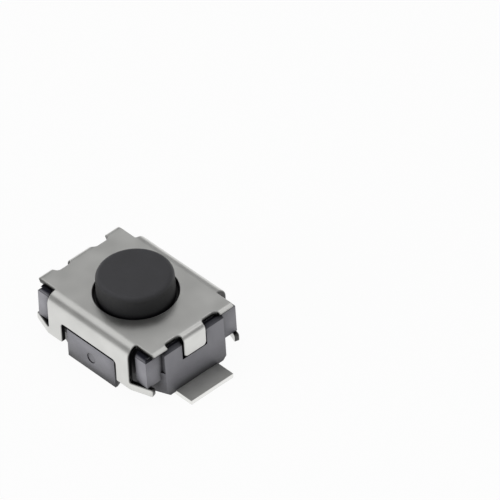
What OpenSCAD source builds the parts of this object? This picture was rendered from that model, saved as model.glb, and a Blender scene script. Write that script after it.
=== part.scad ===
// Surface-mount tactile push switch: moulded base, stamped cover, round button, snap dome
// and two moulded-in terminals. X runs along the terminals, the side walls of the cover
// face -Y and +Y, and z = 0 is the plane of the solder faces, under the middle of the base.

/* [Cover] */
// Width of the cover over its two side walls
cover_w = 3.0; // [2.9:0.02:3.3]
// Length of the cover over its corner lips
cover_l = 3.84; // [3.8:0.02:4.2]
// Thickness of the cover's sheet
cover_t = 0.12; // [0.1:0.01:0.14]
// Height of the cover's top face above the board
cover_top = 1.5; // [1.46:0.02:1.7]
// Outer radius of the long bends between the top and the side walls
side_bend_r = 0.28; // [0.22:0.01:0.32]
// Outer radius of the bends at the two ends
end_bend_r = 0.18; // [0.18:0.02:0.2]
// Radius of the round hole that the button comes through
hole_r = 0.97; // [0.95:0.01:1.02]
// Length of each side wall, from the outer edge of one leg to that of the other
wall_l = 2.66; // [2.5:0.02:2.8]
// Height of the side walls' lower edge above the board
wall_low = 0.82; // [0.74:0.02:0.9]
// Width of the notch beside each end tab
notch_w = 0.46; // [0.4:0.02:0.5]
// Depth of the notch beside each end tab, along the cover
notch_depth = 0.17; // [0.17:0.01:0.3]
// How far the corner lips are bent down, in degrees
lip_turn = 40; // [20:5:45]

/* [Legs] */
// Width of each leg
leg_w = 0.43; // [0.34:0.01:0.5]
// Height of the legs' lower ends above the board
leg_low = 0.34; // [0.3:0.02:0.4]
// Fillet between a leg and the lower edge of its wall
leg_fillet = 0.1; // [0.05:0.01:0.12]
// Length of the flat part of the clinched foot
foot_l = 0.54; // [0.4:0.02:0.56]
// How far the foot is turned in under the base, in degrees
foot_turn = 18; // [12:1:20]

/* [End tabs] */
// Width of the tab at the middle of each end
tab_w = 0.66; // [0.56:0.02:0.8]
// Height of the tab's lower edge above the board
tab_low = 0.9; // [0.8:0.02:1.0]
// Radius of the tab's lower corners
tab_corner_r = 0.1; // [0.05:0.01:0.14]

/* [Base] */
// Width of the base over its foot
base_w = 2.86; // [2.8:0.02:2.92]
// Width of the base over its corner blocks
block_w = 2.72; // [2.7:0.02:2.92]
// Height of the undersides of the corner blocks above the board
block_low = 0.56; // [0.54:0.02:0.72]
// How far the corner blocks stand back from the end walls
block_step = 0.11; // [0.04:0.01:0.12]
// Gap between each leg and the corner block beside it
block_gap = 0.1; // [0.06:0.01:0.14]
// Depth of the slot behind that gap
slot_depth = 0.16; // [0.08:0.02:0.18]
// How far the tops of the corner blocks and end walls lie under the cover's sheet
end_drop = 0.02; // [0.01:0.01:0.1]
// Chamfer on the top edges of the corner blocks and end walls
top_chamfer = 0.08; // [0.06:0.01:0.12]
// Draft of the end walls, as the lean over their height
end_draft = 0.03; // [0:0.01:0.05]
// Gap between the side walls' lower edges and the foot of the base
wall_gap = 0.04; // [0.02:0.01:0.06]
// Width of the foot of the base at its two ends
plateau_end_w = 1.8; // [1.7:0.02:1.96]
// Chamfer under the lower edge of the end walls
foot_chamfer = 0.06; // [0.04:0.01:0.12]
// Chamfer under the four slanted edges of the foot
slant_chamfer = 0.18; // [0.1:0.02:0.2]
// Height of the shallow relief under each end of the foot
end_relief = 0.03; // [0.01:0.01:0.05]
// Length of the relief, from the end wall inward
relief_l = 0.36; // [0.3:0.02:0.4]
// Diameter of the shallow gate mark on one side of the foot
gate_d = 0.26; // [0.2:0.02:0.34]
// Depth of the gate mark
gate_depth = 0.02; // [0.01:0.01:0.04]

/* [Underside groove] */
// Length of the diagonal groove in the underside
groove_l = 2.35; // [1.8:0.05:2.4]
// Width of the diagonal groove
groove_w = 0.48; // [0.4:0.02:0.6]
// Depth of the diagonal groove
groove_depth = 0.06; // [0.04:0.01:0.1]
// Depth of the pocket at one end of the groove
pocket_depth = 0.16; // [0.12:0.01:0.2]
// Angle of the groove from the long axis, in degrees
groove_turn = 39; // [36:1:42]
// Distance of the groove's middle from the middle of the base, across the base
groove_offset = 0.14; // [0:0.02:0.16]
// Number of cross ribs in the groove
rib_count = 4; // [2:1:6]
// Width of each cross rib
rib_w = 0.05; // [0.03:0.01:0.08]

/* [Button] */
// Diameter of the button above the cover
button_d = 1.8; // [1.7:0.02:1.84]
// Height of the button's top above the board
button_top = 2.05; // [1.9:0.05:2.5]
// Radius of the button's top edge
button_edge_r = 0.13; // [0.08:0.01:0.2]
// Diameter of the hidden flange that holds the button in
flange_d = 2.3; // [2.24:0.02:2.34]
// Thickness of the flange
flange_t = 0.17; // [0.14:0.01:0.2]
// Diameter of the nub that presses on the dome
nub_d = 0.7; // [0.5:0.05:0.9]
// Height of the nub under the flange
nub_h = 0.08; // [0.06:0.01:0.1]
// Play between the pieces that slide or press on each other
play = 0.01; // [0.005:0.005:0.02]
// Travel of the button, which is the rise of the snap dome
travel = 0.25; // [0.2:0.01:0.25]

/* [Snap dome] */
// Diameter of the snap dome
dome_d = 2.04; // [1.96:0.02:2.06]
// Thickness of the snap dome
dome_t = 0.05; // [0.04:0.01:0.06]

/* [Terminals] */
// Length over the tips of both terminals
terminal_span = 4.84; // [4.7:0.02:5.2]
// Width of each terminal
terminal_w = 1.28; // [1.1:0.02:1.4]
// Thickness of the terminals' sheet
terminal_t = 0.12; // [0.1:0.01:0.14]
// Radius of the contact pad at the centre
centre_pad_r = 0.34; // [0.25:0.01:0.4]
// Width of the arm that carries the contact pad at the centre
arm_w = 0.4; // [0.3:0.02:0.44]
// Width of the ring that the dome's rim rests on
ring_w = 0.34; // [0.26:0.02:0.38]
// Gap between the arm and the ends of the ring
contact_gap = 0.12; // [0.08:0.01:0.16]
// Thickness of the end walls outside the terminals' risers
riser_cover = 0.14; // [0.13:0.01:0.2]

/* [Hidden] */
$fn = 96;
// Gap between the moulded base and the metal around it
fit_gap = 0.02;
// How far a cut runs past the face that it opens
past = 0.5;

// Cover, from its outer faces inward
wall_y = cover_w / 2;
wall_x = wall_l / 2;
under_cover = cover_top - cover_t;
flat_y = wall_y - side_bend_r;
leg_x = wall_x - leg_w;
plate_end = cover_l / 2 - end_bend_r * sin(lip_turn);
tab_face = cover_l / 2 + fit_gap / 2;
tab_flat = tab_face - end_bend_r;
foot_bend_r = cover_t;
foot_h = block_low - fit_gap - leg_low;

// Base, from the cover's inner faces
base_l = cover_l;
base_end = base_l / 2;
block_end = base_end - block_step;
core_y = wall_y - cover_t - fit_gap;
core_edge_r = side_bend_r - cover_t - fit_gap;
block_x = wall_x + block_gap;
plateau_top = wall_low - wall_gap;
plateau_x = leg_x - leg_fillet - fit_gap;
plateau_end = plateau_end_w / 2;
relief_x = base_end - relief_l;
shelf_top = under_cover - end_drop;
shelf_x = base_end - notch_depth;

// Column of the moving parts, from the contacts up to the cover
floor_z = under_cover - play - flange_t - nub_h - play - dome_t - travel;
dome_top = floor_z + travel + dome_t;
flange_low = under_cover - play - flange_t;
well_r = flange_d / 2 + fit_gap;
dome_seat_r = dome_d / 2 + fit_gap;
dome_seat_top = flange_low - travel - fit_gap;
dome_r = (pow(dome_d / 2, 2) + pow(travel + dome_t, 2)) / (2 * (travel + dome_t));

// Terminals, from the solder faces up to the contacts
tip_x = terminal_span / 2;
riser_x = base_end - riser_cover - terminal_t;
ring_r = dome_d / 2;

// Solid of an outline in X and Z, centred on y = 0
module along_y(width) {
    rotate([90, 0, 0])
        linear_extrude(width, center = true)
            children();
}

// Solid of an outline in Y and Z, centred on x = 0
module along_x(length) {
    rotate([90, 0, 90])
        linear_extrude(length, center = true)
            children();
}

// The same piece on both sides of the y = 0 plane
module both_sides() {
    children();
    mirror([0, 1, 0]) children();
}

// The same piece at both ends
module both_ends() {
    children();
    mirror([1, 0, 0]) children();
}

// Quarter or part of a bend: sheet that curls down from the top face, in the X and Z plane
module bend_outline(outer_r, turn) {
    reach = 3 * outer_r;
    intersection() {
        difference() {
            circle(outer_r);
            circle(outer_r - cover_t);
        }
        polygon([[0, 0], [0, reach], [reach * sin(turn / 2), reach * cos(turn / 2)],
            [reach * sin(turn), reach * cos(turn)]]);
    }
}

// Flat top of the cover with its hole, corner notches and end notches
module cover_plate() {
    translate([0, 0, under_cover])
        linear_extrude(cover_t)
            difference() {
                union() {
                    square([2 * plate_end, 2 * flat_y], center = true);
                    square([2 * tab_flat, tab_w], center = true);
                }
                circle(hole_r);
                both_ends() both_sides() notch_outline();
            }
}

// Notch between a corner lip and the end tab, with a round inner end
module notch_outline() {
    corner_r = notch_w / 4;
    translate([base_end - notch_depth, tab_w / 2]) {
        translate([corner_r, 0]) square([past, notch_w]);
        translate([0, corner_r]) square([past, notch_w - 2 * corner_r]);
        translate([corner_r, corner_r]) circle(corner_r);
        translate([corner_r, notch_w - corner_r]) circle(corner_r);
    }
}

// One corner lip, bent a little down over the end of the base
module corner_lip() {
    lip_low_y = tab_w / 2 + notch_w;
    lip_w = flat_y - lip_low_y;
    translate([plate_end, lip_low_y + lip_w / 2, cover_top - end_bend_r])
        along_y(lip_w)
            bend_outline(end_bend_r, lip_turn);
}

// Tab at the middle of an end, bent square down against the end wall
module end_tab() {
    translate([tab_flat, 0, cover_top - end_bend_r])
        along_y(tab_w)
            bend_outline(end_bend_r, 90);
    translate([tab_face - cover_t, 0, 0])
        rotate([90, 0, 90])
            linear_extrude(cover_t) {
                translate([-tab_w / 2, tab_low + tab_corner_r])
                    square([tab_w, cover_top - end_bend_r - tab_low - tab_corner_r]);
                translate([tab_corner_r - tab_w / 2, tab_low])
                    square([tab_w - 2 * tab_corner_r, 2 * tab_corner_r]);
                for (side = [-1, 1])
                    translate([side * (tab_w / 2 - tab_corner_r), tab_low + tab_corner_r])
                        circle(tab_corner_r);
            }
}

// Face of a side wall with its two legs, before the feet are turned in
module wall_outline() {
    wall_top = cover_top - side_bend_r;
    translate([-wall_x, wall_low]) square([wall_l, wall_top - wall_low]);
    for (side = [-1, 1])
        mirror([side < 0 ? 1 : 0, 0]) {
            translate([leg_x, leg_low]) square([leg_w, wall_top - leg_low]);
            difference() {
                translate([leg_x - leg_fillet, wall_low - leg_fillet])
                    square(2 * leg_fillet);
                translate([leg_x - leg_fillet, wall_low - leg_fillet])
                    circle(leg_fillet);
                translate([leg_x, wall_low - 2 * leg_fillet])
                    square(4 * leg_fillet);
            }
        }
}

// Clinched foot: a short bend about an upright line, then a flat that runs under the block
module leg_foot() {
    turn_x = wall_x;
    turn_y = wall_y - cover_t - foot_bend_r;
    nose_r = foot_h / 4;
    translate([turn_x, turn_y, leg_low]) {
        rotate([0, 0, 90])
            rotate_extrude(angle = -foot_turn)
                translate([foot_bend_r, 0])
                    square([cover_t, foot_h]);
        rotate([0, 0, -foot_turn])
            translate([0, foot_bend_r + cover_t, 0])
                rotate([90, 0, 0])
                    linear_extrude(cover_t) {
                        square([foot_l - nose_r, foot_h]);
                        translate([0, nose_r]) square([foot_l, foot_h - 2 * nose_r]);
                        translate([foot_l - nose_r, nose_r]) circle(nose_r);
                        translate([foot_l - nose_r, foot_h - nose_r]) circle(nose_r);
                    }
    }
}

// One long side: the bend, the wall and its two clinched legs
module side_wall() {
    translate([0, flat_y, cover_top - side_bend_r])
        along_x(wall_l)
            bend_outline(side_bend_r, 90);
    translate([0, wall_y, 0])
        rotate([90, 0, 0])
            linear_extrude(cover_t)
                wall_outline();
    both_ends() leg_foot();
}

// Stamped cover
module cover() {
    color([0.72, 0.72, 0.71]) {
        cover_plate();
        both_ends() {
            end_tab();
            both_sides() corner_lip();
        }
        both_sides() side_wall();
    }
}

// Upper part of the base between the cover's side walls, with rounded long top edges
module core() {
    side = core_y - core_edge_r;
    intersection() {
        along_x(2 * base_end) {
            translate([-core_y, block_low])
                square([2 * core_y, under_cover - core_edge_r - block_low]);
            translate([-side, block_low])
                square([2 * side, under_cover - block_low]);
            for (way = [-1, 1])
                translate([way * side, under_cover - core_edge_r])
                    circle(core_edge_r);
        }
        end_profile(block_end, 2 * base_w);
    }
}

// Outline along X with drafted end walls and a lower shelf with a chamfered edge at each end
module end_profile(half, width) {
    top_x = half - end_draft;
    along_y(width)
        polygon([
            [-half, 0], [half, 0],
            [top_x, shelf_top - top_chamfer], [top_x - top_chamfer, shelf_top],
            [shelf_x, shelf_top], [shelf_x, under_cover],
            [-shelf_x, under_cover], [-shelf_x, shelf_top],
            [top_chamfer - top_x, shelf_top], [-top_x, shelf_top - top_chamfer]
        ]);
}

// The four corner blocks that fill the cover's open corners
module corner_blocks() {
    side = block_w / 2;
    intersection() {
        end_profile(block_end, 2 * base_w);
        along_x(2 * base_end)
            polygon([
                [-side, block_low], [side, block_low],
                [side, shelf_top - top_chamfer], [side - top_chamfer, shelf_top],
                [top_chamfer - side, shelf_top], [-side, shelf_top - top_chamfer]
            ]);
        both_ends()
            translate([block_x, -base_w, 0])
                cube([base_l, 2 * base_w, cover_top]);
    }
}

// Eight-sided foot of the base, which stands on the board
module plateau() {
    side_y = base_w / 2;
    intersection() {
        linear_extrude(plateau_top)
            polygon([
                [-plateau_x, -side_y], [plateau_x, -side_y],
                [plateau_x, -core_y], [base_end, -plateau_end],
                [base_end, plateau_end], [plateau_x, core_y],
                [plateau_x, side_y], [-plateau_x, side_y],
                [-plateau_x, core_y], [-base_end, plateau_end],
                [-base_end, -plateau_end], [-plateau_x, -core_y]
            ]);
        along_y(2 * base_w)
            polygon([
                [-relief_x, 0], [relief_x, 0], [relief_x, end_relief],
                [base_end - foot_chamfer, end_relief], [base_end, end_relief + foot_chamfer],
                [base_end, cover_top], [-base_end, cover_top],
                [-base_end, end_relief + foot_chamfer], [foot_chamfer - base_end, end_relief],
                [-relief_x, end_relief]
            ]);
        end_profile(base_end, 2 * base_w);
    }
}

// Cut that chamfers the lower edges of the slanted sides of the foot
module slant_cuts() {
    slant = atan2(plateau_end - core_y, base_end - plateau_x);
    both_ends()
        both_sides()
            translate([plateau_x, core_y, 0])
                rotate([90, 0, 90 + slant])
                    linear_extrude(base_l)
                        polygon([
                            [-2 * slant_chamfer, -slant_chamfer], [past, -slant_chamfer],
                            [past, slant_chamfer], [0, slant_chamfer]
                        ]);
}

// Part of each end wall between the corner blocks, down to the foot
module end_walls() {
    intersection() {
        end_profile(base_end, plateau_end_w);
        translate([0, 0, block_low])
            linear_extrude(under_cover - block_low)
                square([base_l, plateau_end_w], center = true);
    }
}

// Shallow pocket that an end tab lies in, with its top edge cut back under the bend
module tab_pocket() {
    pocket_x = tab_face - cover_t - fit_gap;
    pocket_low = tab_low - 2 * fit_gap;
    along_y(tab_w + 4 * fit_gap)
        polygon([
            [pocket_x, pocket_low], [base_end + past, pocket_low],
            [base_end + past, cover_top], [tab_flat - fit_gap, cover_top],
            [tab_flat - fit_gap, under_cover], [pocket_x, cover_top - end_bend_r]
        ]);
}

// Round well for the dome, the nub and the flange
module well() {
    translate([0, 0, floor_z]) cylinder(r = dome_seat_r, h = cover_top);
    translate([0, 0, dome_seat_top]) cylinder(r = well_r, h = cover_top);
}

// Diagonal groove of the underside, with cross ribs and a deeper pocket at one end
module underside_groove() {
    pitch = groove_l / (rib_count + 1);
    translate([0, -groove_offset, 0]) rotate([0, 0, groove_turn]) {
        difference() {
            translate([-groove_l / 2, -groove_w / 2, -past])
                cube([groove_l, groove_w, past + groove_depth]);
            for (i = [1:rib_count])
                translate([i * pitch - (groove_l + rib_w) / 2, -groove_w, groove_depth / 2])
                    cube([rib_w, 2 * groove_w, past]);
        }
        translate([-groove_l / 2, -groove_w / 2, -past])
            cube([pitch - rib_w, groove_w, past + pocket_depth]);
    }
}

// Slots beside the legs, between the corner blocks and the part that carries the cover
module leg_slots() {
    both_ends()
        both_sides()
            translate([wall_x - cover_t, core_y - slot_depth, 0])
                cube([cover_t + block_gap, past, cover_top]);
}

// Round gate mark in the side of the foot that faces -Y
module gate_mark() {
    translate([0, gate_depth - base_w / 2, plateau_top / 2])
        rotate([90, 0, 0])
            cylinder(d = gate_d, h = past);
}

// Moulded base
module base() {
    color([0.16, 0.16, 0.18])
        difference() {
            union() {
                core();
                corner_blocks();
                plateau();
                end_walls();
            }
            well();
            both_ends() tab_pocket();
            leg_slots();
            slant_cuts();
            underside_groove();
            gate_mark();
            centre_terminal_shape();
            ring_terminal_shape();
        }
}

// Strip of a terminal: solder foot, riser inside the base and run to the contacts
module terminal_strip(inner_x, inner_w) {
    along_y(terminal_w)
        polygon([
            [riser_x, 0], [tip_x, 0], [tip_x, terminal_t], [riser_x + terminal_t, terminal_t],
            [riser_x + terminal_t, floor_z], [riser_x, floor_z]
        ]);
    translate([inner_x, -inner_w / 2, floor_z - terminal_t])
        cube([riser_x + terminal_t - inner_x, inner_w, terminal_t]);
}

// Terminal that ends in the round contact under the dome's middle
module centre_terminal_shape() {
    mirror([1, 0, 0]) terminal_strip(0, arm_w);
    translate([0, 0, floor_z - terminal_t]) cylinder(r = centre_pad_r, h = terminal_t);
}

// Terminal that ends in an open ring, which carries the dome's rim
module ring_terminal_shape() {
    gap_w = arm_w + 2 * contact_gap;
    terminal_strip(ring_r - ring_w / 2, terminal_w);
    translate([0, 0, floor_z - terminal_t])
        linear_extrude(terminal_t)
            difference() {
                circle(ring_r);
                circle(ring_r - ring_w);
                translate([-2 * ring_r, -gap_w / 2]) square([2 * ring_r, gap_w]);
            }
}

// Terminal at the -X end
module centre_terminal() {
    color([0.78, 0.77, 0.74]) centre_terminal_shape();
}

// Terminal at the +X end
module ring_terminal() {
    color([0.78, 0.77, 0.74]) ring_terminal_shape();
}

// Snap dome: a shallow cap of thin spring sheet that stands on the ring
module contact_dome() {
    color([0.8, 0.79, 0.75])
        rotate_extrude()
            intersection() {
                translate([0, dome_top - dome_r])
                    difference() {
                        circle(dome_r, $fn = 360);
                        circle(dome_r - dome_t, $fn = 360);
                    }
                translate([0, floor_z]) square([dome_d, cover_top]);
            }
}

// Button with its rounded top edge, hidden flange and nub
module button() {
    radius = button_d / 2;
    inner = radius - button_edge_r;
    color([0.2, 0.2, 0.22]) {
        rotate_extrude() {
            translate([0, flange_low]) square([radius, button_top - button_edge_r - flange_low]);
            translate([0, flange_low]) square([inner, button_top - flange_low]);
            translate([inner, button_top - button_edge_r]) circle(button_edge_r);
            translate([0, flange_low]) square([flange_d / 2, flange_t]);
            translate([0, dome_top + play]) square([nub_d / 2, nub_h + flange_t]);
        }
    }
}

base();
cover();
button();
contact_dome();
centre_terminal();
ring_terminal();
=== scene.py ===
"""Dressed model of a surface-mount tactile push switch, with its studio and camera.

The stamped cover is drawn as a flat blank and folded, the button and the snap dome are
turned from profiles, and the moulded base and the terminals get soft edges on the CAD form.
"""
import math

import bmesh
import bpy
from mathutils import Matrix, Vector


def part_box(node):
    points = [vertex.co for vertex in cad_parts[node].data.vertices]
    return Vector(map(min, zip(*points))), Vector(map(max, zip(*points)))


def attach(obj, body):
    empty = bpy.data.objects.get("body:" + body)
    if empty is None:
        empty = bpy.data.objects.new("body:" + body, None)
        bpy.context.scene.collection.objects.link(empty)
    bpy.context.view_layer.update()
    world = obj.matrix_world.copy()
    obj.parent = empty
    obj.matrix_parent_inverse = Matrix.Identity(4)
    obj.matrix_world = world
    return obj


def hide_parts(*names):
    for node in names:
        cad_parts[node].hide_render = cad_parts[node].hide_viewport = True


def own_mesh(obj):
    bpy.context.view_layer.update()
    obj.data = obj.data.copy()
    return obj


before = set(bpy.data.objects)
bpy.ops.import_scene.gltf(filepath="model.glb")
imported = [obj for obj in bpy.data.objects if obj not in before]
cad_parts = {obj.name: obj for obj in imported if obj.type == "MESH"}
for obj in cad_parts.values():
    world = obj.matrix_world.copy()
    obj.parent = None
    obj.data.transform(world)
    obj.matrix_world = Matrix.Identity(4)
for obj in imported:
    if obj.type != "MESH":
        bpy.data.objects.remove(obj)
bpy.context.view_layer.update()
MM = 0.001

# Camera, fitted to the photo: angles in degrees, lengths in metres
CAMERA_AZIMUTH = 48.70
CAMERA_ELEVATION = 41.27
CAMERA_ROLL = 3.00
CAMERA_DISTANCE = 179.48 * MM
CAMERA_RIGHT = 2.488 * MM
CAMERA_UP = 2.030 * MM
SENSOR_W = 36.0
LENS_LENGTH = 576.0

# Cover, in millimetres. Its box gives the overall sizes.
cover_low, cover_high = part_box("cover")
COVER_TOP = cover_high[2] / MM
WALL_Y = cover_high[1] / MM
TAB_FACE = cover_high[0] / MM
LEG_LOW = cover_low[2] / MM
SHEET_T = 0.12
SIDE_BEND_R = 0.28
END_BEND_R = 0.18
FOOT_BEND_R = 0.24
LIP_TURN = math.radians(40)
FOOT_TURN = math.radians(18)
HOLE_R = 0.97
WALL_X = 1.33
WALL_LOW = 0.91
LEG_W = 0.43
LEG_FILLET = 0.1
FOOT_TOP = 0.54
FOOT_L = 0.54
TAB_HALF = 0.33
TAB_LOW = 0.9
TAB_CORNER_R = 0.1
NOTCH_W = 0.46
NOTCH_X = 1.75
LIP_REACH = 1.92
CORNER_R = 0.04

# Lines of the flat blank, in millimetres from its middle, measured on the outer face
FLAT_Y = WALL_Y - SIDE_BEND_R
TAB_FLAT = TAB_FACE - END_BEND_R
PLATE_END = LIP_REACH - END_BEND_R * math.sin(LIP_TURN)
WALL_START = FLAT_Y + SIDE_BEND_R * math.pi / 2
TAB_START = TAB_FLAT + END_BEND_R * math.pi / 2
LIP_LOW_Y = TAB_HALF + NOTCH_W

# Fineness of the meshes. Arcs under the small radius, in millimetres, take fewer steps.
ROUND_STEPS = 144
DOME_STEPS = 96
SMALL_R = 0.06
SMALL_ARC_STEPS = 6
ARC_STEPS = 10

# Soft edges of the moulded base and of the terminal strips, in metres
BASE_EDGE_R = 0.012 * MM
STRIP_EDGE_R = 0.01 * MM

# Floor: a disc just under the part, and how far its white glows by itself, from 0 to 1
FLOOR_R = 400 * MM
FLOOR_DROP = 0.01 * MM
FLOOR_GLOW = 0.95

# Soft boxes, which are alike: their distance and their size in metres
SOFT_BOX_AWAY = 120 * MM
SOFT_BOX_W = 80 * MM
SOFT_BOX_H = 40 * MM

# Bare metal on rubbed and cut edges
BRIGHT_METAL = (0.82, 0.82, 0.8)


def new_material(name):
    """A material with its shader and short ways to add and link nodes."""
    mat = bpy.data.materials.new(name)
    mat.use_nodes = True
    tree = mat.node_tree
    shader = tree.nodes["Principled BSDF"]

    def add(kind, **values):
        node = tree.nodes.new(kind)
        for key, value in values.items():
            setattr(node, key, value)
        return node

    return mat, shader, add, tree.links.new


def noise(add, link, coords, scale, detail, stretch=(1.0, 1.0, 1.0)):
    """Noise of so many grains to the metre, stretched along the axes given."""
    mapping = add("ShaderNodeMapping")
    mapping.inputs["Scale"].default_value = stretch
    texture = add("ShaderNodeTexNoise")
    texture.inputs["Scale"].default_value = scale
    texture.inputs["Detail"].default_value = detail
    link(coords, mapping.inputs["Vector"])
    link(mapping.outputs["Vector"], texture.inputs["Vector"])
    return texture.outputs["Fac"]


def spread(add, link, value, low, high, from_low=0.3, from_high=0.7):
    """The value moved from its own middle range to the range low to high."""
    node = add("ShaderNodeMapRange")
    node.inputs["From Min"].default_value = from_low
    node.inputs["From Max"].default_value = from_high
    node.inputs["To Min"].default_value = low
    node.inputs["To Max"].default_value = high
    link(value, node.inputs["Value"])
    return node.outputs["Result"]


def two_tones(add, link, value, dark, light):
    """A colour that runs from dark to light with the value."""
    ramp = add("ShaderNodeValToRGB")
    ramp.color_ramp.elements[0].position = 0.3
    ramp.color_ramp.elements[0].color = (*dark, 1.0)
    ramp.color_ramp.elements[1].position = 0.7
    ramp.color_ramp.elements[1].color = (*light, 1.0)
    link(value, ramp.inputs["Fac"])
    return ramp.outputs["Color"]


def bump(add, link, height, depth, strength):
    """A bump of so many metres from a height of 0 to 1."""
    node = add("ShaderNodeBump")
    node.inputs["Strength"].default_value = strength
    node.inputs["Distance"].default_value = depth
    link(height, node.inputs["Height"])
    return node.outputs["Normal"]


def blend(add, link, share, first, second):
    """A colour between two others, each a colour or a socket, by a share from 0 to 1."""
    # The mix node's colours are its inputs 6 and 7 and its output 2
    node = add("ShaderNodeMix", data_type="RGBA")
    link(share, node.inputs[0])
    for socket, colour in ((node.inputs[6], first), (node.inputs[7], second)):
        if isinstance(colour, tuple):
            socket.default_value = (*colour, 1.0)
        else:
            link(colour, socket)
    return node.outputs[2]


def worn_edges(add, link, radius, strength):
    """A mask of the edges that stand out or lie in a corner, so many metres wide."""
    soft = add("ShaderNodeBevel", samples=4)
    soft.inputs["Radius"].default_value = radius
    along = add("ShaderNodeVectorMath", operation="DOT_PRODUCT")
    link(soft.outputs["Normal"], along.inputs[0])
    link(add("ShaderNodeNewGeometry").outputs["Normal"], along.inputs[1])
    return spread(add, link, along.outputs["Value"], strength, 0.0, 0.9, 0.995)


def painted_crevice_shade(add, link, reach, darkest, closed, free):
    """Painted shade: a factor that falls from 1 in the open to the darkest value in gaps and
    corners.
    """
    hidden = add("ShaderNodeAmbientOcclusion", samples=8)
    hidden.inputs["Distance"].default_value = reach
    return spread(add, link, hidden.outputs["AO"], darkest, 1.0, closed, free)


def product(add, link, first, second):
    """Two factors multiplied."""
    node = add("ShaderNodeMath", operation="MULTIPLY")
    link(first, node.inputs[0])
    link(second, node.inputs[1])
    return node.outputs[0]


def normal_z(add, link):
    """How far a face looks up: 1 on a level top, 0 on an upright side, -1 on an underside."""
    split = add("ShaderNodeSeparateXYZ")
    link(add("ShaderNodeTexCoord").outputs["Normal"], split.inputs[0])
    return split.outputs["Z"]


def levelness(add, link):
    """How level a face lies: 1 on a top or an underside, 0 on an upright side."""
    node = add("ShaderNodeMath", operation="ABSOLUTE")
    link(normal_z(add, link), node.inputs[0])
    return node.outputs[0]


def cover_steel():
    """Rolled stainless sheet: fine grain along the strip, rubbed bends, raw cut edges darkened by
    painted shade.
    """
    mat, shader, add, link = new_material("cover_steel")
    sheet = add("ShaderNodeUVMap", uv_map="sheet").outputs["UV"]
    grain = noise(add, link, sheet, 6.0, 4.0, (1.2, 16.0, 1.0))
    clouds = noise(add, link, sheet, 1.6, 1.0)
    cut_edge_tone_and_shade = add("ShaderNodeAttribute", attribute_name="cut_edge_tone_and_shade").outputs["Fac"]
    rolled = two_tones(add, link, clouds, (0.63, 0.63, 0.612), (0.71, 0.71, 0.69))
    rubbed = blend(add, link, worn_edges(add, link, 0.02 * MM, 0.35), rolled, BRIGHT_METAL)
    # Cut edges go nearly black: a little of this is their raw, duller tone, most is painted shade
    link(blend(add, link, cut_edge_tone_and_shade, rubbed, (0.07, 0.07, 0.068)), shader.inputs["Base Color"])
    link(spread(add, link, clouds, 0.28, 0.32), shader.inputs["Roughness"])
    link(bump(add, link, grain, 0.0015 * MM, 0.35), shader.inputs["Normal"])
    shader.inputs["Metallic"].default_value = 1.0
    return mat


def base_plastic():
    """Moulded plastic, dark edges: upright sides painted lit grey-violet, level faces painted
    shaded black.
    """
    mat, shader, add, link = new_material("base_plastic")
    place = add("ShaderNodeTexCoord").outputs["Object"]
    grain = noise(add, link, place, 26000.0, 4.0)
    clouds = noise(add, link, place, 1500.0, 3.0)
    level = spread(add, link, levelness(add, link), 0.0, 1.0, 0.35, 0.8)
    # Painted shade from occlusion: dark lines in narrow gaps, and a broader darkening near corners
    gaps = painted_crevice_shade(add, link, 0.3 * MM, 0.1, 0.55, 0.93)
    shade = painted_crevice_shade(add, link, 1.0 * MM, 0.12, 0.35, 1.0)
    open_air = product(add, link, gaps, shade)
    # Painted light on upright sides and painted shade on level faces, blended by how level a face
    # lies
    painted_lit_sides = two_tones(add, link, clouds, (0.255, 0.253, 0.276), (0.315, 0.312, 0.338))
    flat = two_tones(add, link, clouds, (0.007, 0.0075, 0.013), (0.012, 0.0125, 0.02))
    body = blend(add, link, level, painted_lit_sides, flat)
    edged = blend(add, link, worn_edges(add, link, 0.025 * MM, 0.6), body, (0.09, 0.088, 0.098))
    # Painted shade: the colour falls to near black where gaps and corners close in
    link(blend(add, link, open_air, (0.004, 0.004, 0.006), edged), shader.inputs["Base Color"])
    link(spread(add, link, clouds, 0.36, 0.46), shader.inputs["Roughness"])
    link(spread(add, link, level, 0.4, 0.08, 0.0, 1.0), shader.inputs["Specular IOR Level"])
    link(bump(add, link, grain, 0.004 * MM, 0.4), shader.inputs["Normal"])
    return mat


def button_plastic():
    """Matte grained charcoal plastic, painted lighter on its top and darker on its side as light
    and shade.
    """
    mat, shader, add, link = new_material("button_plastic")
    place = add("ShaderNodeTexCoord").outputs["Object"]
    grain = noise(add, link, place, 30000.0, 4.0)
    clouds = noise(add, link, place, 1800.0, 3.0)
    # Painted light and shade: the top gets a lighter grey than the side
    top = spread(add, link, normal_z(add, link), 0.0, 1.0, 0.3, 0.9)
    painted_lit_top = two_tones(add, link, clouds, (0.041, 0.041, 0.045), (0.052, 0.052, 0.057))
    painted_shaded_side = two_tones(add, link, clouds, (0.013, 0.013, 0.014), (0.019, 0.019, 0.02))
    body = blend(add, link, top, painted_shaded_side, painted_lit_top)
    worn = blend(add, link, worn_edges(add, link, 0.03 * MM, 0.3), body, (0.075, 0.075, 0.08))
    # Painted shade: near black in gaps and corners, such as low on the side and round the hole
    open_air = painted_crevice_shade(add, link, 0.6 * MM, 0.05, 0.45, 0.95)
    link(blend(add, link, open_air, (0.003, 0.003, 0.004), worn), shader.inputs["Base Color"])
    link(spread(add, link, clouds, 0.46, 0.56), shader.inputs["Roughness"])
    link(bump(add, link, grain, 0.005 * MM, 0.45), shader.inputs["Normal"])
    shader.inputs["Specular IOR Level"].default_value = 0.4
    return mat


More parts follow.
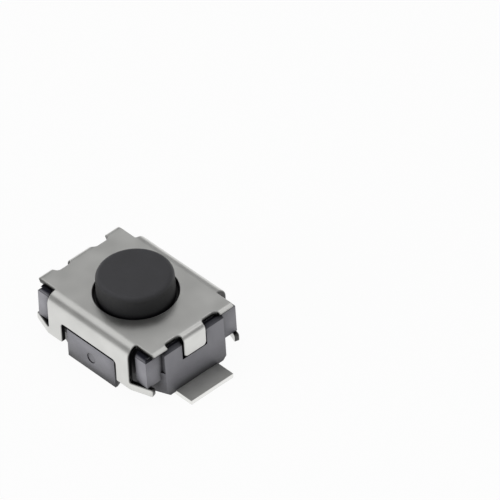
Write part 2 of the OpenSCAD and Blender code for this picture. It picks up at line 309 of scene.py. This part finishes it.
def plated_metal(name, dark, light, rough_low, rough_high):
    """Plated or bright sheet: a faint grain, smoother and brighter on its upright cut sides."""
    mat, shader, add, link = new_material(name)
    place = add("ShaderNodeTexCoord").outputs["Object"]
    grain = noise(add, link, place, 9000.0, 4.0, (1.0, 9.0, 9.0))
    clouds = noise(add, link, place, 2200.0, 3.0)
    cut = spread(add, link, levelness(add, link), 1.0, 0.0, 0.3, 0.7)
    faces = two_tones(add, link, clouds, dark, light)
    body = blend(add, link, cut, faces, BRIGHT_METAL)
    worn = tuple(min(1.0, v * 1.3) for v in light)
    edged = blend(add, link, worn_edges(add, link, 0.015 * MM, 0.5), body, worn)
    link(edged, shader.inputs["Base Color"])
    rolled = spread(add, link, clouds, rough_low, rough_high)
    smoother = spread(add, link, cut, 1.0, 0.45, 0.0, 1.0)
    link(product(add, link, rolled, smoother), shader.inputs["Roughness"])
    link(bump(add, link, grain, 0.002 * MM, 0.35), shader.inputs["Normal"])
    shader.inputs["Metallic"].default_value = 1.0
    return mat


def finish_piece(bm, name, mat, body, node):
    """Turns a mesh in metres into a smooth-shaded piece that stands for a CAD node."""
    sharp_angle = math.radians(50)
    bmesh.ops.recalc_face_normals(bm, faces=bm.faces)
    for face in bm.faces:
        face.smooth = True
    for edge in bm.edges:
        if edge.calc_face_angle(0.0) > sharp_angle:
            edge.smooth = False
    mesh = bpy.data.meshes.new(name)
    bm.to_mesh(mesh)
    bm.free()
    piece = bpy.data.objects.new(name, mesh)
    bpy.context.scene.collection.objects.link(piece)
    mesh.materials.append(mat)
    weighted = piece.modifiers.new("weighted normals", "WEIGHTED_NORMAL")
    weighted.keep_sharp = True
    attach(piece, body)
    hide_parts(node)
    return piece


def rounded(corners):
    """A closed outline through corners (u, v, radius), with an arc at each corner."""
    points = []
    count = len(corners)
    for i, (u, v, radius) in enumerate(corners):
        here = Vector((u, v))
        before = Vector(corners[i - 1][:2]) - here
        after = Vector(corners[(i + 1) % count][:2]) - here
        before.normalize()
        after.normalize()
        half = before.angle(after) / 2
        centre = here + (before + after).normalized() * radius / math.sin(half)
        start = here + before * radius / math.tan(half) - centre
        end = here + after * radius / math.tan(half) - centre
        steps = SMALL_ARC_STEPS if radius < SMALL_R else ARC_STEPS
        turn = start.angle_signed(end)
        for k in range(steps + 1):
            points.append(centre + Matrix.Rotation(-turn * k / steps, 2) @ start)
    return points


def blank_corners():
    """Corners of the flat blank with their radii, counted anticlockwise from +U."""
    nose = (FOOT_TOP - LEG_LOW) / 4
    leg_x = WALL_X - LEG_W
    foot_tip = WALL_X + FOOT_BEND_R * FOOT_TURN + FOOT_L
    lip_end = PLATE_END + END_BEND_R * LIP_TURN
    tab_end = TAB_START + COVER_TOP - END_BEND_R - TAB_LOW
    wall_v = {z: WALL_START + COVER_TOP - SIDE_BEND_R - z for z in (WALL_LOW, LEG_LOW, FOOT_TOP)}
    quarter = [
        (tab_end, TAB_HALF, TAB_CORNER_R),
        (NOTCH_X, TAB_HALF, NOTCH_W / 4),
        (NOTCH_X, LIP_LOW_Y, NOTCH_W / 4),
        (lip_end, LIP_LOW_Y, CORNER_R),
        (lip_end, FLAT_Y, CORNER_R),
        (WALL_X, FLAT_Y, CORNER_R),
        (WALL_X, wall_v[FOOT_TOP], CORNER_R),
        (foot_tip, wall_v[FOOT_TOP], nose),
        (foot_tip, wall_v[LEG_LOW], nose),
        (leg_x, wall_v[LEG_LOW], CORNER_R),
        (leg_x, wall_v[WALL_LOW], LEG_FILLET),
    ]
    half = quarter + [(-u, v, r) for u, v, r in reversed(quarter)]
    return half + [(u, -v, r) for u, v, r in reversed(half)]


def inset(loop, distance):
    """The loop moved to its left by a distance, with mitred corners."""
    moved = []
    for i, here in enumerate(loop):
        before = (here - loop[i - 1]).normalized()
        after = (loop[(i + 1) % len(loop)] - here).normalized()
        left_before = Vector((-before.y, before.x))
        left_after = Vector((-after.y, after.x))
        mitre = (left_before + left_after) / (1 + left_before.dot(left_after))
        moved.append(here + mitre * distance)
    return moved


def flat_blank():
    """The blank as a closed plate: rolled-over edges on its face, shorn ones on its back."""
    roll = 0.025
    shear = 0.006
    # Share of the dark cut-edge tone, mostly painted shade, on each strip of the rim, from face to
    # back
    marks = (0.1, 0.45, 0.8, 1.0, 1.0)
    rim = [(roll * (1 - math.sin(a)), roll * (1 - math.cos(a)))
           for a in (0, math.pi / 6, math.pi / 3, math.pi / 2)]
    rim += [(0, SHEET_T - shear), (shear, SHEET_T)]
    hole = [Vector((HOLE_R * math.cos(-2 * math.pi * k / ROUND_STEPS),
                    HOLE_R * math.sin(-2 * math.pi * k / ROUND_STEPS))) for k in range(ROUND_STEPS)]
    bm = bmesh.new()
    cut_edge_tone_and_shade = bm.loops.layers.float_color.new("cut_edge_tone_and_shade")
    caps = ([], [])
    for loop in (rounded(blank_corners()), hole):
        rings = []
        for inward, depth in rim:
            rings.append([bm.verts.new((p.x, p.y, -depth)) for p in inset(loop, inward)])
        for upper, lower, mark in zip(rings, rings[1:], marks):
            for i in range(len(loop)):
                face = bm.faces.new((upper[i - 1], upper[i], lower[i], lower[i - 1]))
                for corner in face.loops:
                    corner[cut_edge_tone_and_shade] = (mark, mark, mark, 1.0)
        for cap, ring in zip(caps, (rings[0], rings[-1])):
            cap.extend(bm.edges.get((ring[i - 1], ring[i])) for i in range(len(ring)))
    for cap in caps:
        filled = bmesh.ops.triangle_fill(bm, edges=cap, use_beauty=True)["geom"]
        for face in (f for f in filled if isinstance(f, bmesh.types.BMFace)):
            for corner in face.loops:
                corner[cut_edge_tone_and_shade] = (0.0, 0.0, 0.0, 1.0)
        for edge in cap:
            edge.smooth = False
    return bm


def cut_bend(bm, axis, start, arc, steps):
    """Cuts lines across the blank on both sides of the middle, so that it bends round."""
    margin = 0.03
    on_line = 1e-7
    bent = [start + arc * k / steps for k in range(steps + 1)]
    lines = [start - margin] + bent + [start + arc + margin]
    for side in (-1, 1):
        normal = Vector((0, 0, 0))
        normal[axis] = 1
        for line in lines:
            place = Vector((0, 0, 0))
            place[axis] = side * line
            geom = bm.verts[:] + bm.edges[:] + bm.faces[:]
            bmesh.ops.bisect_plane(bm, geom=geom, dist=on_line, plane_co=place, plane_no=normal)


def curl(past, depth, radius, turn):
    """Where a point of the sheet goes past the start of a bend: along the sheet and inward."""
    if past <= 0:
        return past, depth
    angle = min(past / radius, turn)
    rest = past - angle * radius
    along = (radius - depth) * math.sin(angle) + rest * math.cos(angle)
    inward = radius - (radius - depth) * math.cos(angle) + rest * math.sin(angle)
    return along, inward


def fold(point):
    """Folds a point of the blank, in millimetres: feet, side walls, end tabs and lips."""
    on_line = 1e-6
    u, v, depth = abs(point.x), abs(point.y), -point.z
    y = v
    if v > FLAT_Y + on_line:
        along, inward = curl(u - WALL_X, depth, FOOT_BEND_R, FOOT_TURN)
        x = WALL_X + along
        along, down = curl(v - FLAT_Y, inward, SIDE_BEND_R, math.pi / 2)
        y = FLAT_Y + along
    elif v < (TAB_HALF + LIP_LOW_Y) / 2:
        along, down = curl(u - TAB_FLAT, depth, END_BEND_R, math.pi / 2)
        x = TAB_FLAT + along
    else:
        along, down = curl(u - PLATE_END, depth, END_BEND_R, LIP_TURN)
        x = PLATE_END + along
    return Vector((math.copysign(x, point.x), math.copysign(y, point.y), COVER_TOP - down)) * MM


def make_cover(mat):
    """The stamped cover, cut flat and folded."""
    nearest_points = 2e-4
    thinnest_face = 1e-5
    bm = flat_blank()
    cut_bend(bm, 1, FLAT_Y, SIDE_BEND_R * math.pi / 2, 12)
    cut_bend(bm, 0, TAB_FLAT, END_BEND_R * math.pi / 2, 8)
    cut_bend(bm, 0, PLATE_END, END_BEND_R * LIP_TURN, 4)
    cut_bend(bm, 0, WALL_X, FOOT_BEND_R * FOOT_TURN, 3)
    bmesh.ops.remove_doubles(bm, verts=bm.verts, dist=nearest_points)
    bmesh.ops.dissolve_degenerate(bm, edges=bm.edges, dist=thinnest_face)
    sheet = bm.loops.layers.uv.new("sheet")
    for face in bm.faces:
        for corner in face.loops:
            corner[sheet].uv = corner.vert.co.xy
    for vert in bm.verts:
        vert.co = fold(vert.co)
    finish_piece(bm, "stamped_cover", mat, "housing", "cover")


def arc_points(centre_r, centre_z, radius, start, end, steps):
    """Points of an arc in a profile, with its angles in degrees from the outward direction."""
    points = []
    for k in range(steps + 1):
        a = math.radians(start + (end - start) * k / steps)
        points.append((centre_r + radius * math.cos(a), centre_z + radius * math.sin(a)))
    return points


def turned(profile, steps):
    """A closed solid of revolution about Z from points (r, z) in millimetres, ends on the axis."""
    bm = bmesh.new()
    rings = []
    for r, z in profile:
        if r == 0:
            rings.append([bm.verts.new((0, 0, z * MM))])
        else:
            rings.append([bm.verts.new((r * MM * math.cos(2 * math.pi * k / steps),
                                        r * MM * math.sin(2 * math.pi * k / steps), z * MM))
                          for k in range(steps)])
    for lower, upper in zip(rings, rings[1:]):
        for k in range(steps):
            n = (k + 1) % steps
            corners = [lower[k % len(lower)], lower[n % len(lower)]]
            corners += [upper[n % len(upper)], upper[k % len(upper)]]
            bm.faces.new(list(dict.fromkeys(corners)))
    return bm


def make_button(mat):
    """The button: nub, flange, slightly drafted side, rounded edge and a faintly crowned top."""
    low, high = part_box("button")
    bottom, top = low[2] / MM, high[2] / MM
    flange_r = high[0] / MM
    flange_low, flange_top = 1.20, 1.37
    nub_r = 0.35
    radius = 0.9
    draft = 0.008
    edge_r = 0.13
    crown = 0.012
    soft = 0.02
    inner = radius - draft - edge_r
    profile = [(0, bottom)]
    profile += arc_points(nub_r - soft, bottom + soft, soft, -90, 0, 3)
    profile += [(nub_r, flange_low)]
    profile += arc_points(flange_r - soft, flange_low + soft, soft, -90, 0, 3)
    profile += arc_points(flange_r - soft, flange_top - soft, soft, 0, 90, 3)
    profile += [(radius + soft, flange_top)]
    profile += [(radius + soft / 4, flange_top + soft / 4)]
    profile += [(radius, flange_top + soft)]
    profile += arc_points(inner, top - crown - edge_r, edge_r, 0, 84, 12)
    steps = 5
    for k in range(steps):
        r = inner * (1 - k / steps)
        profile.append((r, top - crown * (r / inner) ** 2))
    profile.append((0, top))
    bm = turned(profile, ROUND_STEPS)
    finish_piece(bm, "push_button", mat, "button", "button")


def make_dome(mat):
    """The snap dome: a shallow cap of spring sheet, which the button presses flat."""
    low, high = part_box("contact_dome")
    rim_r, rim_z, top = high[0] / MM, low[2] / MM, high[2] / MM
    thick = 0.05
    steps = 16
    rise = top - rim_z
    radius = (rim_r ** 2 + rise ** 2) / (2 * rise)
    turn = math.asin(rim_r / radius)
    inner_r = radius - thick
    inner_turn = math.acos((radius - rise) / inner_r)
    profile = []
    for k in range(steps + 1):
        a = inner_turn * k / steps
        profile.append((inner_r * math.sin(a), top - radius + inner_r * math.cos(a)))
    for k in range(steps, -1, -1):
        a = turn * k / steps
        profile.append((radius * math.sin(a), top - radius + radius * math.cos(a)))
    bm = turned(profile, DOME_STEPS)
    dome = finish_piece(bm, "snap_dome", mat, "housing", "contact_dome")
    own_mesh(dome)


def make_soft_edged(node, name, mat, edge_r):
    """The CAD node's own form with its sharp edges rounded a little."""
    nearest_points = 1e-8
    flat_angle = math.radians(0.5)
    sharp_angle = math.radians(32)
    bm = bmesh.new()
    bm.from_mesh(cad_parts[node].data)
    bmesh.ops.remove_doubles(bm, verts=bm.verts, dist=nearest_points)
    bmesh.ops.dissolve_limit(bm, angle_limit=flat_angle, verts=bm.verts, edges=bm.edges)
    sharp = [e for e in bm.edges if len(e.link_faces) == 2 and e.calc_face_angle() > sharp_angle]
    bmesh.ops.bevel(bm, geom=sharp, offset=edge_r, segments=2, profile=0.5, affect="EDGES",
                    clamp_overlap=True)
    bmesh.ops.triangulate(bm, faces=[f for f in bm.faces if len(f.verts) > 4])
    finish_piece(bm, name, mat, "housing", node)


def make_camera():
    """The photo's camera, from its direction, roll, distance and offsets."""
    a, e, r = (math.radians(v) for v in (CAMERA_AZIMUTH, CAMERA_ELEVATION, CAMERA_ROLL))
    back = Vector((math.sin(a) * math.cos(e), -math.cos(a) * math.cos(e), math.sin(e)))
    right = Vector((math.cos(a), math.sin(a), 0.0))
    up = back.cross(right)
    turned_right = right * math.cos(r) - up * math.sin(r)
    turned_up = right * math.sin(r) + up * math.cos(r)
    data = bpy.data.cameras.new("camera")
    data.sensor_width = SENSOR_W
    data.lens = LENS_LENGTH
    data.clip_start = 1.0 * MM
    data.clip_end = 10.0
    camera = bpy.data.objects.new("camera", data)
    axes = Matrix((turned_right, turned_up, back)).transposed()
    place = turned_right * CAMERA_RIGHT + turned_up * CAMERA_UP + back * CAMERA_DISTANCE
    camera.matrix_world = Matrix.Translation(place) @ axes.to_4x4()
    bpy.context.scene.collection.objects.link(camera)
    bpy.context.scene.camera = camera


def make_floor():
    """Floor: white to the camera and to reflections, with a faint shadow, and clear from below."""
    mat, shader, add, link = new_material("floor_white")
    shader.inputs["Base Color"].default_value = (0.86, 0.86, 0.86, 1.0)
    shader.inputs["Roughness"].default_value = 0.9
    shader.inputs["Specular IOR Level"].default_value = 0.0
    paths = add("ShaderNodeLightPath")
    seen = add("ShaderNodeMath", operation="MAXIMUM")
    seen_or_through = add("ShaderNodeMath", operation="MAXIMUM")
    share = add("ShaderNodeMath", operation="MULTIPLY")
    glow = add("ShaderNodeEmission")
    mix = add("ShaderNodeMixShader")
    one_sided = add("ShaderNodeMixShader")
    share.inputs[1].default_value = FLOOR_GLOW
    link(paths.outputs["Is Camera Ray"], seen.inputs[0])
    link(paths.outputs["Is Glossy Ray"], seen.inputs[1])
    link(seen.outputs[0], seen_or_through.inputs[0])
    link(paths.outputs["Is Transmission Ray"], seen_or_through.inputs[1])
    link(seen_or_through.outputs[0], share.inputs[0])
    link(share.outputs[0], mix.inputs["Fac"])
    link(shader.outputs["BSDF"], mix.inputs[1])
    link(glow.outputs["Emission"], mix.inputs[2])
    link(add("ShaderNodeNewGeometry").outputs["Backfacing"], one_sided.inputs["Fac"])
    link(mix.outputs["Shader"], one_sided.inputs[1])
    link(add("ShaderNodeBsdfTransparent").outputs["BSDF"], one_sided.inputs[2])
    link(one_sided.outputs["Shader"], mat.node_tree.nodes["Material Output"].inputs["Surface"])
    bm = bmesh.new()
    bmesh.ops.create_circle(bm, cap_ends=True, radius=FLOOR_R, segments=96)
    mesh = bpy.data.meshes.new("floor")
    bm.to_mesh(mesh)
    bm.free()
    mesh.materials.append(mat)
    floor = bpy.data.objects.new("floor", mesh)
    floor.location.z = -FLOOR_DROP
    bpy.context.scene.collection.objects.link(floor)


def make_world():
    """Plain studio surround: pale at the horizon, dim above it, a pale ring overhead."""
    # Greys by height, where 0.5 is the horizon and 1 is straight overhead
    greys = ((0.55, 0.6), (0.62, 0.3), (0.76, 0.29), (0.835, 0.17), (0.885, 0.88), (0.92, 0.88),
             (0.96, 0.36))
    world = bpy.data.worlds.new("studio")
    world.use_nodes = True
    nodes, link = world.node_tree.nodes, world.node_tree.links.new
    coords = nodes.new("ShaderNodeTexCoord")
    split = nodes.new("ShaderNodeSeparateXYZ")
    height = nodes.new("ShaderNodeMapRange")
    ramp = nodes.new("ShaderNodeValToRGB")
    height.inputs["From Min"].default_value = -1.0
    elements = ramp.color_ramp.elements
    elements[0].position, elements[0].color = 0.5, (0.7, 0.7, 0.7, 1.0)
    elements[1].position, elements[1].color = 1.0, (0.36, 0.36, 0.37, 1.0)
    for position, grey in greys:
        element = elements.new(position)
        element.color = (grey, grey, grey, 1.0)
    link(coords.outputs["Generated"], split.inputs[0])
    link(split.outputs["Z"], height.inputs["Value"])
    link(height.outputs["Result"], ramp.inputs["Fac"])
    link(ramp.outputs["Color"], nodes["Background"].inputs["Color"])
    nodes["Background"].inputs["Strength"].default_value = 1.25
    bpy.context.scene.world = world


def soft_box(name, azimuth, elevation, radiance):
    """A soft light that faces the object from a direction in degrees, and isn't mirrored in it."""
    a, e = math.radians(azimuth), math.radians(elevation)
    away = Vector((math.sin(a) * math.cos(e), -math.cos(a) * math.cos(e), math.sin(e)))
    data = bpy.data.lights.new(name, "AREA")
    data.shape = "RECTANGLE"
    data.size = SOFT_BOX_W
    data.size_y = SOFT_BOX_H
    data.energy = radiance * math.pi * SOFT_BOX_W * SOFT_BOX_H
    light = bpy.data.objects.new(name, data)
    light.location = away * SOFT_BOX_AWAY
    light.rotation_euler = away.to_track_quat("Z", "Y").to_euler()
    light.visible_camera = False
    light.visible_glossy = False
    bpy.context.scene.collection.objects.link(light)


plate_metal = plated_metal("terminal_plate", (0.4, 0.4, 0.39), (0.5, 0.5, 0.485), 0.4, 0.5)
make_camera()
make_cover(cover_steel())
make_button(button_plastic())
make_dome(plated_metal("dome_steel", (0.66, 0.65, 0.62), (0.74, 0.73, 0.7), 0.16, 0.24))
make_soft_edged("base", "moulded_base", base_plastic(), BASE_EDGE_R)
for terminal in ("centre_terminal", "ring_terminal"):
    make_soft_edged(terminal, terminal + "_strip", plate_metal, STRIP_EDGE_R)
make_floor()
make_world()
soft_box("front_low", -20, 15, 6.5)
soft_box("right_low", 120, 15, 0.6)
bpy.context.scene.view_settings.view_transform = "Standard"
